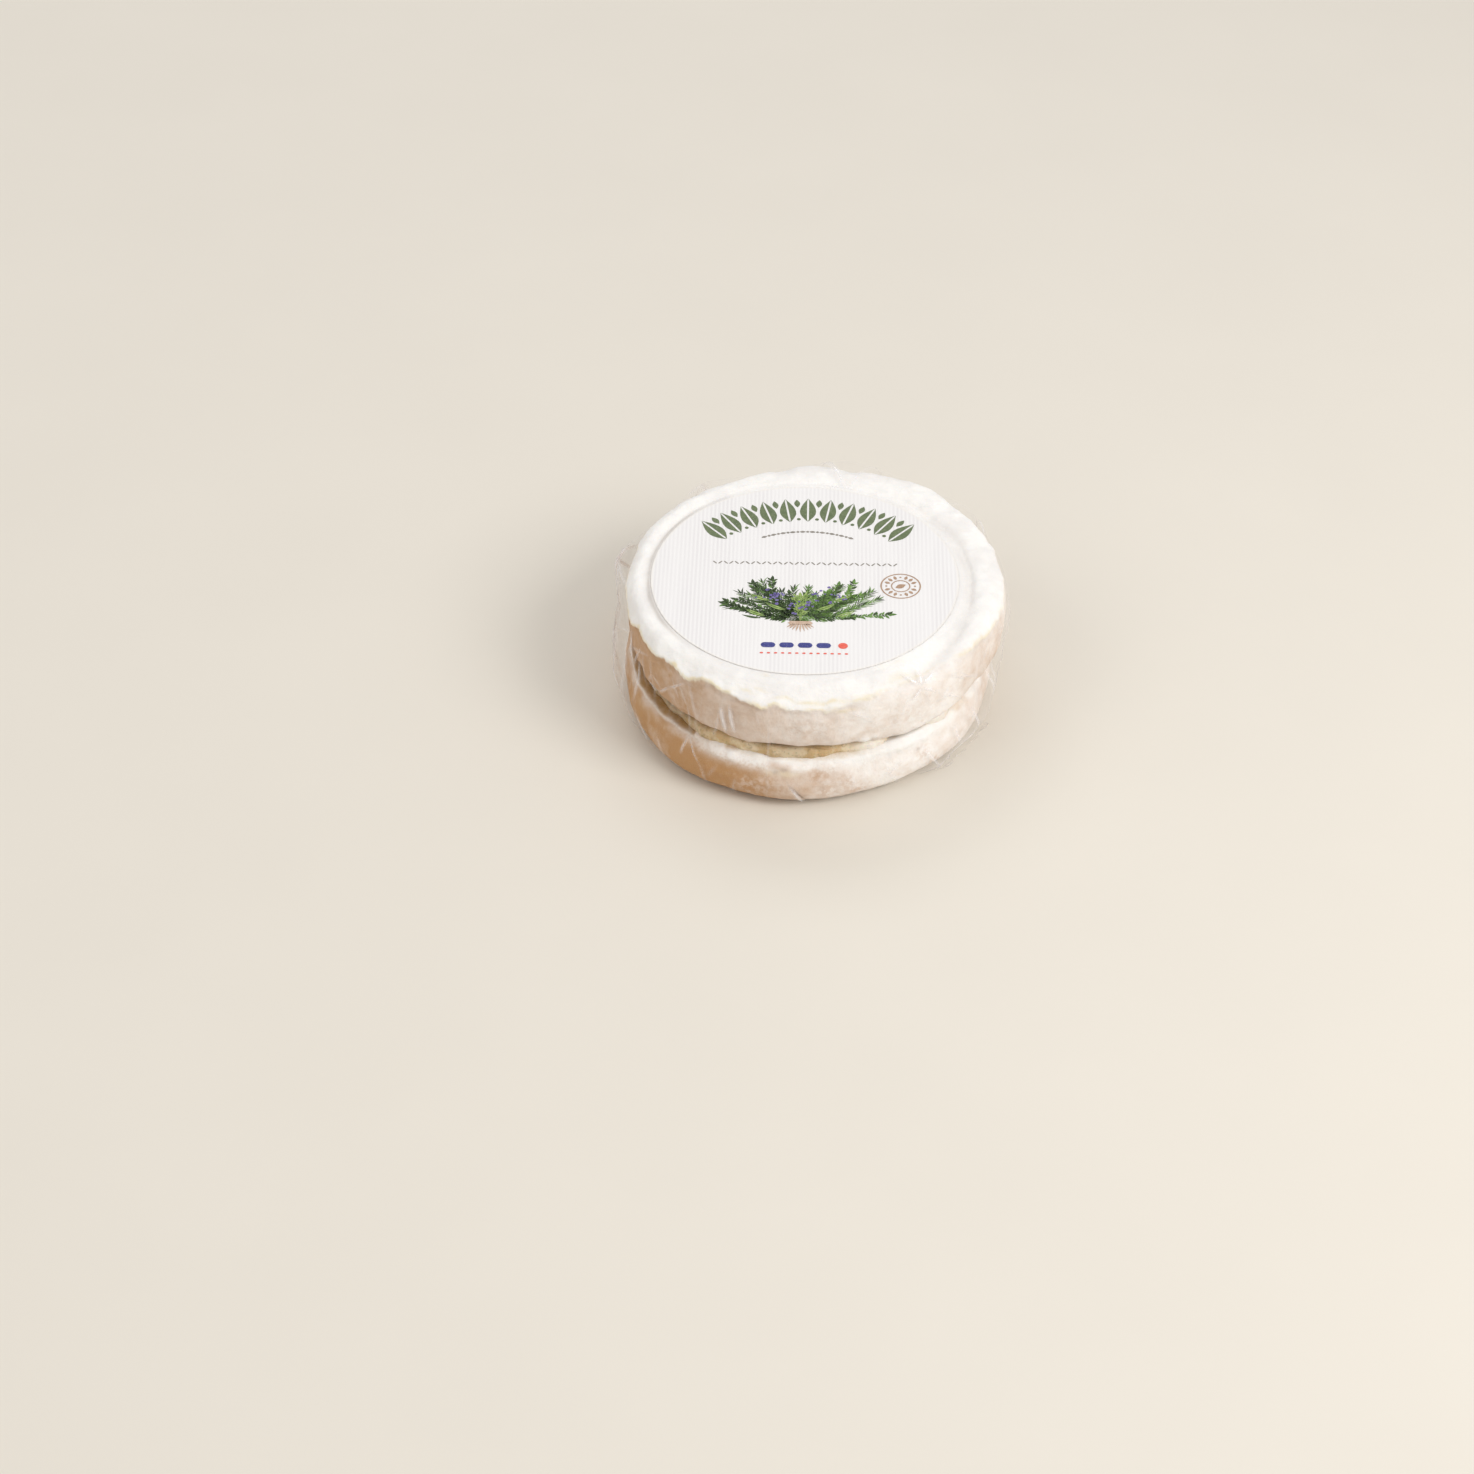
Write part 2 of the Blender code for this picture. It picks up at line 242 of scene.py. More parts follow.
def sheet(name, grid, masks, closed=True):
    """Mesh of a grid that closes round the wheel, with a middle point at top and bottom."""
    rows, columns, _ = grid.shape
    index = np.arange(rows * columns).reshape(rows, columns)
    turned = np.roll(index, -1, axis=1)
    faces = np.stack([index[:-1], index[1:], turned[1:], turned[:-1]], axis=-1).reshape(-1, 4).tolist()
    points = grid.reshape(-1, 3)
    values = {mask: np.ravel(value) for mask, value in masks.items()}
    if closed:
        ends = np.stack([grid[0].mean(axis=0), grid[-1].mean(axis=0)])
        points = np.vstack([points, ends])
        first, last = rows * columns, rows * columns + 1
        faces += [(first, int(a), int(b)) for a, b in zip(index[0], turned[0])]
        faces += [(last, int(b), int(a)) for a, b in zip(index[-1], turned[-1])]
        values = {
            mask: np.append(value, [value[:columns].mean(), value[-columns:].mean()])
            for mask, value in values.items()
        }
    return add_piece(name, points, faces, values)


def spots_at(angle, level, table):
    """Soft round spots on the side: angle, level, width round, height, strength."""
    total = np.zeros(angle.shape)
    for middle, height, wide, tall, strength in table:
        across, up = turned_from(angle, middle) * DEGREE / wide, (level - height) / tall
        total = np.maximum(total, strength * np.exp(-(across ** 2) - up ** 2))
    return total


# Materials


class Value:
    """A socket of a material that sums can be written with."""

    def __init__(self, paint, socket):
        self.paint = paint
        self.socket = socket

    def joined(self, operation, first, second):
        return self.paint.node("ShaderNodeMath", {"operation": operation}, {0: first, 1: second})

    def __add__(self, other):
        return self.joined("ADD", self, other)

    __radd__ = __add__

    def __sub__(self, other):
        return self.joined("SUBTRACT", self, other)

    def __rsub__(self, other):
        return self.joined("SUBTRACT", other, self)

    def __mul__(self, other):
        return self.joined("MULTIPLY", self, other)

    def __pow__(self, other):
        return self.joined("POWER", self, other)


class Paint:
    """A material whose Principled shader has these constant values."""

    def __init__(self, name, **constants):
        self.material = bpy.data.materials.new(name)
        self.material.use_nodes = True
        self.tree = self.material.node_tree
        self.shader = self.tree.nodes["Principled BSDF"]
        for socket, value in constants.items():
            self.shader.inputs[socket.replace("_", " ")].default_value = value
        self.place = self.node("ShaderNodeTexCoord", output="Object")

    def feed(self, socket, value):
        if isinstance(value, Value):
            self.tree.links.new(value.socket, socket)
        else:
            socket.default_value = value

    def node(self, kind, settings=None, sockets=None, output=0):
        """One node: its settings first, then the values or links of its sockets."""
        made = self.tree.nodes.new(kind)
        for name, value in (settings or {}).items():
            setattr(made, name, value)
        for name, value in (sockets or {}).items():
            self.feed(made.inputs[name], value)
        return Value(self, made.outputs[output])

    def mix(self, share, first, second, way="MIX"):
        settings = {"data_type": "RGBA", "blend_type": way, "clamp_factor": True}
        return self.node("ShaderNodeMix", settings, {0: share, 6: first, 7: second}, 2)

    def read(self, mask):
        return self.node("ShaderNodeAttribute", {"attribute_name": mask}, output="Fac")

    def stretched(self, x, y, z, place=None):
        settings = {"operation": "MULTIPLY"}
        return self.node("ShaderNodeVectorMath", settings, {0: place or self.place, 1: (x, y, z)})

    def grain(self, size, detail=3.0, rough=0.5, place=None):
        """Noise of 0 to 1 whose lumps have this size in millimetres."""
        sockets = {"Vector": place or self.place, "Scale": 1.0 / (size * MM), "Detail": detail}
        sockets["Roughness"] = rough
        return self.node("ShaderNodeTexNoise", None, sockets)

    def step(self, value, low, high, first=0.0, last=1.0):
        settings = {"interpolation_type": "SMOOTHSTEP"}
        sockets = {"Value": value, "From Min": low, "From Max": high, "To Min": first, "To Max": last}
        return self.node("ShaderNodeMapRange", settings, sockets)

    def relief(self, height, distance, strength):
        sockets = {"Height": height, "Distance": distance * MM, "Strength": strength}
        return self.node("ShaderNodeBump", None, sockets)

    def set(self, **values):
        for socket, value in values.items():
            self.feed(self.shader.inputs[socket.replace("_", " ")], value)
        return self.material


def tone(red, green, blue):
    """Colour of the shader from the shade that the eye sees, each 0.05 to 1."""
    return (*(((value + 0.055) / 1.055) ** 2.4 for value in (red, green, blue)), 1.0)


# Light scatters a little way into cheese, nearly alike for red, green and blue
SOFT_RADIUS = (1.0, 0.85, 0.7)

WHITE_MOULD = tone(0.98, 0.97, 0.955)
COOL_MOULD = tone(0.905, 0.89, 0.88)
PALE_SIDE = tone(0.975, 0.955, 0.935)
# Side colours at full tan; the tan tables reach them on the left, where they also paint shade
UPPER_SIDE = tone(0.755, 0.605, 0.46)
LOWER_SIDE = tone(0.74, 0.565, 0.375)
OLIVE_SMEAR = tone(0.82, 0.70, 0.52)
# Painted shade for the valley beside the label on the left and for the trough on the right of the rim
VALLEY_PAINTED_SHADE = tone(0.80, 0.77, 0.74)
# Smear darkened as painted shade, for the left where the groove lies in shade
SMEAR_WITH_PAINTED_SHADE = tone(0.62, 0.47, 0.26)
PASTE_YELLOW = tone(0.93, 0.875, 0.74)
RUST_SPOT = tone(0.74, 0.56, 0.38)
# Brown for real spots on the lower rind, and painted shade in its fold, under the upper layer's lip and
# at the upper layer's foot by the groove
BROWN_SPOT_AND_SHADE = tone(0.45, 0.33, 0.24)


def rind_paint(name, side_shade):
    """White mould rind: white on top, tan to pale at the side, with spots and bloom."""
    paint = Paint(name, Subsurface_Weight=0.15, Subsurface_Scale=0.004, Subsurface_Radius=SOFT_RADIUS)
    masks = ("side", "edge", "brown", "tan", "patch", "bloom", "smear", "valley", "dark")
    side, edge, brown, tan, patch, bloom, smear, valley, dark = map(paint.read, masks)
    broad, middle, fine = paint.grain(11.0), paint.grain(3.4, 4.0, 0.6), paint.grain(0.7, 2.0)
    top = paint.mix(paint.step(broad + middle * 0.4, 0.55, 0.85) * 0.5, WHITE_MOULD, COOL_MOULD)
    beige = paint.mix(tan + (broad + middle - 1.0) * 0.55, PALE_SIDE, side_shade)
    chalk = paint.step(paint.grain(2.4, 4.0, 0.6), 0.48, 0.75) * (0.42 - tan * 0.3)
    beige = paint.mix(chalk, beige, WHITE_MOULD)
    pits = paint.step(paint.grain(1.2, 5.0, 0.7), 0.5, 0.68)
    beige = paint.mix(pits * 0.16, beige, side_shade)
    top = paint.mix(pits * 0.2, top, COOL_MOULD)
    # Painted shade: the valley mask greys the top in the valley by the label and in the rim's trough
    top = paint.mix(valley * 0.8, top, VALLEY_PAINTED_SHADE)
    colour = paint.mix(side, top, beige)
    colour = paint.mix(edge * paint.step(middle, 0.3, 0.6, 0.35, 1.0), colour, PASTE_YELLOW)
    colour = paint.mix(patch * paint.step(paint.grain(1.5, 5.0, 0.65), 0.42, 0.58), colour, RUST_SPOT)
    # Painted shade: the dark mask, set on the left, turns the smear darker
    smear_with_left_shade = paint.mix(dark, OLIVE_SMEAR, SMEAR_WITH_PAINTED_SHADE)
    colour = paint.mix(smear * paint.step(middle, 0.3, 0.55, 0.75, 1.0), colour, smear_with_left_shade)
    # Real spots and painted shade: the brown mask darkens the lower rind's spots, its fold, the band
    # under the lip and the upper layer's foot
    colour = paint.mix(brown * paint.step(fine, 0.3, 0.65, 0.5, 1.0), colour, BROWN_SPOT_AND_SHADE)
    colour = paint.mix(bloom * paint.step(fine, 0.2, 0.6, 0.6, 1.0), colour, WHITE_MOULD)
    rough = 0.55 + fine * 0.14 + middle * 0.1
    swing = paint.grain(4.6, 2.0, 0.4) - 0.5
    wrinkle = paint.node("ShaderNodeMath", {"operation": "ABSOLUTE"}, {0: swing})
    height = middle * 0.5 + fine * 0.3 + paint.grain(0.28, 2.0) * 0.2 - wrinkle * 1.6
    return paint.set(Base_Color=colour, Roughness=rough, Normal=paint.relief(height, 0.5, 0.6))


def cream_paint():
    """Herb cream: olive brown to cream, with flecks of chopped herbs, white where mould closes it, and
    with painted shade under the upper layer and on the left.
    """
    paint = Paint("herb_cream", Subsurface_Weight=0.1, Subsurface_Scale=0.002)
    broad, middle = paint.grain(6.0), paint.grain(1.6, 4.0, 0.6)
    pale = paint.step(broad * 0.7 + middle * 0.5, 0.45, 0.75)
    colour = paint.mix(pale, tone(0.82, 0.70, 0.51), tone(0.92, 0.85, 0.72))
    flecks = paint.step(paint.grain(0.9, 2.0, 0.4), 0.58, 0.72)
    colour = paint.mix(flecks * 0.35, colour, tone(0.47, 0.42, 0.25))
    # Painted shade: darker near the top of the groove under the upper layer, and on the left; a little
    # olive at the right end
    colour = paint.mix(paint.read("shade_and_olive") * 0.75, colour, tone(0.50, 0.38, 0.22))
    colour = paint.mix(paint.read("mould"), colour, WHITE_MOULD)
    height = middle * 0.7 + paint.grain(0.5) * 0.3
    normal = paint.relief(height, 0.5, 0.6)
    return paint.set(Base_Color=colour, Roughness=0.42 + middle * 0.2, Normal=normal)


def label_paint():
    """Off-white paper with fine ribs that run from front to back."""
    paint = Paint("label_paper", Specular_IOR_Level=0.35)
    turn = {"rotation_type": "Z_AXIS"}
    place = paint.node("ShaderNodeVectorRotate", turn, {"Vector": paint.place, "Angle": -LABEL_TURN})
    wave = {"wave_type": "BANDS", "bands_direction": "X", "wave_profile": "SIN"}
    sockets = {"Vector": place, "Scale": 0.314 / (1.12 * MM), "Distortion": 0.0, "Detail": 0.0}
    rib = paint.node("ShaderNodeTexWave", wave, sockets, "Fac")
    faint = paint.grain(5.0, 2.0, 0.5, paint.stretched(1.0, 0.12, 1.0, place))
    fibre = paint.grain(0.5, 3.0, 0.6)
    strength = rib * paint.step(faint, 0.3, 0.7, 0.35, 1.0)
    colour = paint.mix(strength * 0.5, tone(0.95, 0.942, 0.938), tone(0.86, 0.845, 0.85))
    colour = paint.mix(paint.step(fibre, 0.55, 0.8) * 0.25, colour, tone(0.90, 0.89, 0.87))
    # Partly the paper's cut edge, partly a painted shade line: the edge is a little warmer and darker
    # than the face
    colour = paint.mix(paint.read("rim") * 0.8, colour, tone(0.95, 0.93, 0.90))
    normal = paint.relief(rib * 0.8 + fibre * 0.2, 0.09, 0.6)
    return paint.set(Base_Color=colour, Roughness=0.5 + fibre * 0.15, Normal=normal)


def ink_paint(name, shade, second):
    """Print on the paper: two close shades with the paper's grain showing through."""
    paint = Paint(name, Specular_IOR_Level=0.35)
    mottle = paint.grain(1.3, 4.0, 0.65)
    colour = paint.mix(paint.step(mottle, 0.35, 0.65), shade, second)
    worn = paint.step(paint.grain(0.35, 2.0), 0.62, 0.75) * 0.35
    colour = paint.mix(worn, colour, tone(0.93, 0.92, 0.9))
    normal = paint.relief(mottle, 0.04, 0.5)
    return paint.set(Base_Color=colour, Roughness=0.48 + mottle * 0.15, Normal=normal)


def film_paint():
    """Thin clear film: nearly unseen where it lies flat, milky along creases and edges; the milky creases
    are partly painted highlights, and streaks on the slack film are painted reflections.
    """
    paint = Paint("clear_film", Metallic=0.06, Specular_IOR_Level=0.8)
    crease, slack = paint.read("crease"), paint.read("slack")
    glance = paint.node("ShaderNodeLayerWeight", None, {"Blend": 0.25}, "Facing")
    cloud = paint.grain(9.0, 1.0, 0.4)
    streak = paint.grain(4.5, 1.0, 0.4, paint.stretched(1.0, 1.0, 0.12))
    haze = paint.step(cloud * 0.5 + streak * 0.5, 0.5, 0.75) * 0.1
    # Partly the film's haze, partly painted reflections: the slack film is more opaque in vertical
    # streaks
    haze_and_reflection_streaks = slack * (0.14 + paint.step(streak, 0.42, 0.7) * 0.12)
    # Painted highlights: creases are made milky white, partly standing in for glints
    share = 0.035 + haze * paint.read("side") + crease * 0.95 + haze_and_reflection_streaks + (glance ** 3.0) * 0.55
    # Painted reflection: on the slack film, lilac grey streaks stand in for reflections
    milky = slack * paint.step(streak, 0.35, 0.65, 1.0, 0.2)
    shade = paint.mix(milky, tone(0.98, 0.975, 0.985), tone(0.93, 0.91, 0.93))
    normal = paint.relief(streak * 0.6 + cloud * 0.4, 0.25, 0.5)
    paint.set(Base_Color=shade, Roughness=0.08 + haze * 0.5 + crease * 0.08, Normal=normal)
    clear = paint.node("ShaderNodeBsdfTransparent")
    sockets = {0: paint.step(share, 0.0, 1.0), 1: clear, 2: Value(paint, paint.shader.outputs[0])}
    shown = paint.node("ShaderNodeMixShader", None, sockets)
    paint.feed(paint.tree.nodes["Material Output"].inputs["Surface"], shown)
    return paint.material


def floor_paint():
    paint = Paint("pale_floor", Roughness=0.75)
    shade = paint.mix(paint.grain(60.0), tone(0.885, 0.86, 0.815), tone(0.90, 0.875, 0.83))
    return paint.set(Base_Color=shade)


def dress(piece, material, node=None):
    """Gives a piece its material and body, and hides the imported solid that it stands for."""
    piece.data.materials.append(material)
    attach(piece, "root")
    if node:
        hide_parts(node)


# Rinds and cream


def capped(grid, rows):
    """Adds rows from each end of the grid towards the middle of the top and of the base."""
    shares = np.linspace(0.06, 1.0, rows, endpoint=False)[:, None, None]
    top, base = grid[0], grid[-1]
    top_rows = top.mean(axis=0) + (top - top.mean(axis=0)) * shares
    base_rows = base.mean(axis=0) + (base - base.mean(axis=0)) * shares[::-1]
    return np.concatenate([top_rows, grid, base_rows])


def finish_form(name, grid, masks, rows, paint, node):
    """Closes a form in the middle of its top and base, and puts it in place of its solid."""
    masks = {mask: np.pad(value, ((rows, rows), (0, 0)), mode="edge") for mask, value in masks.items()}
    dress(sheet(name, capped(grid, rows), masks), paint, node)


def path_length(grid):
    """Way along each column from the first row, in millimetres."""
    steps = np.linalg.norm(np.diff(grid, axis=0), axis=-1)
    return np.concatenate([np.zeros((1, grid.shape[1])), np.cumsum(steps, axis=0)])


def below_edge(grid, way):
    """Distance along the rind below the lower edge of the white top, in millimetres."""
    angle, away, level = round_wheel(grid)
    edge_level = round_table(RIM_EDGE, angle)
    outer = (level < edge_level) & (away > 44.0)
    first = np.argmax(outer, axis=0)
    return way - way[first, np.arange(grid.shape[1])]


def lip_over(below, crisp):
    """How far the white top stands out above its lower edge, in millimetres."""
    return np.where(below < 0.0, np.exp(below / 3.0), np.exp(-below / 0.45)) * 0.8 * crisp


def on_left(angle):
    """Share of the left, where a valley lies between the rim and the label."""
    return eased(112.0, 150.0, angle) * eased(226.0, 200.0, angle)


def tucked_under(grid, gap):
    """Brings the top up against the underside of the label, with this gap in millimetres."""
    x, y, level = grid[..., 0] - LABEL_X, grid[..., 1] - LABEL_Y, grid[..., 2]
    away, angle = np.hypot(x, y), np.degrees(np.arctan2(y, x)) % 360.0
    left = on_left(angle)
    on_top = eased(33.0, 35.0, level)
    swell = 0.5 * hump(away, 47.0, 2.4) * left * on_top
    share = eased(48.0 - 2.6 * left, 42.7, away) * on_top
    level = level + swell + (paper_height(x, y) - gap - level) * share
    return np.stack([grid[..., 0], grid[..., 1], level], axis=-1)


def upper_rind():
    """Upper layer: white top with a ragged lip over the tan side."""
    grid = laid_over("upper_brie", (LABEL_X, LABEL_Y, 40.0, 27.0), 124, 560)
    way = path_length(grid)
    below = below_edge(grid, way)
    angle, away, level = round_wheel(grid)
    normal = outward(grid)
    crisp = round_table(EDGE_CRISPNESS, angle)
    below = below + layered(grid, (3.4, 11, 0.55), (1.3, 12, 0.35))
    from_label = np.hypot(grid[..., 0] - LABEL_X, grid[..., 1] - LABEL_Y)
    band = eased(LABEL_RADIUS - 1.0, LABEL_RADIUS + 1.5, from_label)
    turned = turned_from(angle, 0.0)
    trough_away = np.interp(turned, (-62.0, -35.0, -9.0, 16.0, 40.0), (49.0, 45.6, 43.8, 44.0, 44.6))
    on_top = eased(34.2, 35.4, level)
    trough = hump(away + lumps(grid, 9.0, 9) * 0.9, trough_away, 1.7) * eased(-72.0, -50.0, turned)
    trough = trough * eased(60.0, 30.0, turned) * eased(32.0, 34.0, level)
    near_edge = 1.0 + 0.7 * np.where(below < 0.0, np.exp(below / 5.0), 0.2)
    uneven = layered(grid, (9.0, 1, 0.36), (3.0, 3, 0.15), (1.1, 4, 0.06)) + creased(grid, 6.5, 2) * 0.3
    height = lip_over(below, crisp) + band * near_edge * uneven - trough * 0.8
    blob = spots_at(angle, level, UPPER_BLOBS)
    height += blob * 0.9
    grid = tucked_under(grid + normal * height[..., None], RIND_GAP)
    side = eased(-0.25, 0.35, below) * crisp + eased(-2.5, 4.5, below) * (1.0 - crisp)
    edge = hump(below, -0.25, 0.45) * (0.35 + 0.65 * crisp)
    edge *= eased(-0.5, 0.5, lumps(grid, 5.0, 5) + 0.2)
    edge = np.maximum(edge, spots_at(angle, level + lumps(grid, 2.5, 6) * 0.4, YELLOW_STREAKS))
    # Painted shade at the upper layer's foot by the groove and in a band just under the lip
    foot_shade = eased(20.4, 18.4, level) * (away > 44.0) * eased(300.0, 275.0, angle)
    under_lip = hump(below, 1.0, 0.8) * crisp
    tan = round_table(UPPER_TAN_AND_SHADE, angle) + layered(grid, (7.0, 7, 0.1), (2.4, 8, 0.08))
    tan += eased(24.0, 19.0, level) * 0.1
    masks = {
        "side": side, "edge": edge, "brown": foot_shade * 0.3 + under_lip * 0.16, "tan": tan,
        # Painted shade: the valley beside the label on the left and, fainter, the rim's trough
        "valley": np.maximum(hump(from_label, 43.3, 0.9) * on_left(angle) * on_top, trough * 0.3),
        "patch": spots_at(angle, level, UPPER_PATCHES),
        "bloom": blob,
    }
    finish_form("upper_rind", grid, masks, 6, rind_paint("upper_rind", UPPER_SIDE), "upper_brie")


def lower_rind():
    """Lower layer: tan side, with a pale or smeared shoulder at the groove."""
    centre_x, centre_y = middle_of("lower_brie")
    grid = laid_over("lower_brie", (centre_x, centre_y, 42.0, 7.6), 104, 560)
    angle, away, level = round_wheel(grid)
    normal = outward(grid)
    outer = eased(42.0, 46.0, away) * eased(0.7, 2.0, level)
    shoulder = hump(level, 13.6, 1.9) * eased(46.5, 48.5, away)
    uneven = layered(grid, (9.0, 21, 0.2), (3.0, 23, 0.1), (1.1, 24, 0.04))
    uneven += creased(grid, 6.0, 22) * 0.14
    height = outer * uneven + shoulder * layered(grid, (3.4, 25, 0.38), (1.4, 26, 0.16))
    fold = spots_at(angle + (level - 5.0) * 0.84, level, LOWER_FOLD)
    height -= fold * 0.35
    clots = spots_at(angle, level, LOWER_CLOTS) + layered(grid, (2.0, 30, 0.25), (0.9, 35, 0.15))
    clots = eased(0.3, 0.7, clots)
    height += clots * (0.4 + 0.3 * lumps(grid, 1.2, 36))
    grid = grid + normal * height[..., None]
    at_left = eased(246.0, 226.0, angle) * eased(150.0, 180.0, angle)
    side = eased(14.6, 12.6, level + lumps(grid, 3.0, 27) * 0.7) * 0.85 + 0.15
    side = side + (1.0 - side) * 0.75 * at_left
    bloom = shoulder * eased(-0.8, 0.2, lumps(grid, 3.6, 28)) * (0.85 - 0.55 * at_left)
    bloom = np.maximum(bloom, clots * 0.55) * (1.0 - at_left * eased(13.9, 14.6, level))
    thin_line = hump(level + lumps(grid, 2.4, 34) * 0.2, 13.9, 0.3) * at_left * eased(46.0, 48.0, away)
    bloom = np.maximum(bloom, thin_line * 0.55)
    smear_level = 13.8 + 0.7 * hump(angle, 257.0, 9.0) - 0.1 * at_left
    smear = eased(0.0, 0.8, level - smear_level + lumps(grid, 3.0, 31) * (0.5 - 0.3 * at_left))
    smear *= eased(176.0, 196.0, angle) * eased(296.0, 276.0, angle)
    smear = np.maximum(smear, spots_at(angle, level, RIGHT_SMEAR))
    tan = round_table(LOWER_TAN_AND_SHADE, angle) + layered(grid, (7.0, 32, 0.1), (2.4, 33, 0.08))
    yellow = hump(level, 11.4, 0.9) * eased(0.0, 0.7, lumps(grid, 6.0, 29)) * eased(46.0, 48.0, away)
    masks = {
        # The dark mask paints shade on the smear at the left
        "side": side, "bloom": bloom, "tan": tan, "smear": smear * (1.0 - clots), "dark": at_left,
        "edge": yellow * (0.5 - 0.35 * at_left),
        # Real brown spots, and painted shade in the fold
        "brown": np.maximum(spots_at(angle, level, LOWER_SPOTS), fold * 0.7),
        "patch": spots_at(angle, level, LOWER_PATCHES),
    }
    finish_form("lower_rind", grid, masks, 6, rind_paint("lower_rind", LOWER_SIDE), "lower_brie")


def herb_cream():
    """Cream in the groove, which closes it at the right."""
    centre_x, centre_y = middle_of("herb_filling")
    grid = laid_over("herb_filling", (centre_x, centre_y, 43.4, 17.0), 44, 640, steps=2)
    out = np.hypot(grid[..., 0] - centre_x, grid[..., 1] - centre_y)
    outer = eased(44.0, 45.6, out)
    angle, _, level = round_wheel(grid)
    ledge = eased(202.0, 244.0, angle) * eased(292.0, 280.0, angle)
    closed = eased(278.0, 291.0, angle + lumps(grid, 2.0, 44)) * eased(333.0, 311.0, angle)
    white = closed * eased(327.0, 320.0, angle + lumps(grid, 2.0, 45) * 1.5 - 2.5 * (18.9 - level))
    white *= 0.85 - 0.65 * hump(angle, 298.0, 7.0)
    height = layered(grid, (2.6, 41, 0.45), (1.1, 42, 0.22), (0.6, 43, 0.08)) * (1.0 - closed * 0.5)
    height += ledge * 2.3 * eased(18.3, 15.8, level) + closed * (3.2 + 1.6 * eased(283.0, 296.0, angle))
    grid = grid + outward(grid) * (height * outer)[..., None]
    grid[..., 2] += closed * outer * (level - 16.9) * (0.5 + 0.6 * eased(288.0, 298.0, angle))
    # Painted shade under the upper layer and on the left, and a darker olive tone at the right end of the
    # closed part
    shade_and_olive = eased(16.4, 17.7, level) + 0.35 * hump(angle, 262.0, 12.0) + 0.9 * eased(244.0, 220.0, angle)
    shade_and_olive = np.clip(shade_and_olive, 0.0, 1.0) * (1.0 - closed) + 0.35 * eased(322.0, 328.0, angle) * closed
    masks = {"shade_and_olive": shade_and_olive, "mould": white * outer}
    finish_form("herb_cream", grid, masks, 4, cream_paint(), "herb_filling")


# Label


def paper_height(x, y):
    """Level of the paper's face at a place that is given from the label's middle."""
    away, angle = np.hypot(x, y), np.arctan2(y, x)
    place = np.stack([np.asarray(x, float), np.asarray(y, float), np.zeros(np.shape(x))], axis=-1)
    edge = eased(24.0, LABEL_RADIUS, away)
    lift = 0.07 * (1.0 + np.sin(3.0 * angle + 0.5)) + 0.03 * (1.0 + np.sin(8.0 * angle + 1.3))
    waves = lumps(place, 14.0, 61) * 0.06 + lumps(place, 5.0, 62) * 0.02 * edge
    return PAPER_LEVEL + lift * edge + waves


def paper_label():
    radii = np.append(np.linspace(0.8, LABEL_RADIUS - 0.15, 64), (LABEL_RADIUS - 0.04, LABEL_RADIUS))
    angles = np.radians(np.arange(0.0, 360.0, 0.75))
    x, y = radii[:, None] * np.cos(angles), radii[:, None] * np.sin(angles)
    top = paper_height(x, y)
    top[-1] -= 0.02
    face = np.stack([x + LABEL_X, y + LABEL_Y, top], axis=-1)
    under = face.copy()[::-1][1:]
    under[..., 2] -= PAPER_THICKNESS
    grid = np.concatenate([face, under])
    # Edge strip of the paper's face, painted as a faint shade line
    rim = np.pad(eased(LABEL_RADIUS - 0.5, LABEL_RADIUS, np.hypot(x, y)), ((0, len(under)), (0, 0)))
    piece = sheet("paper_label", grid, {"rim": rim})
    smooth_faces = (len(face) - 1) * len(angles)
    flat_faces = len(piece.data.polygons) - smooth_faces
    piece.data.polygons.foreach_set("use_smooth", [True] * smooth_faces + [False] * flat_faces)
    dress(piece, label_paint(), "label")


def toward(heading):
    """Way of one millimetre along a heading in degrees, on the paper."""
    turn = np.radians(heading)
    return np.stack([np.cos(turn), np.sin(turn)], axis=-1)


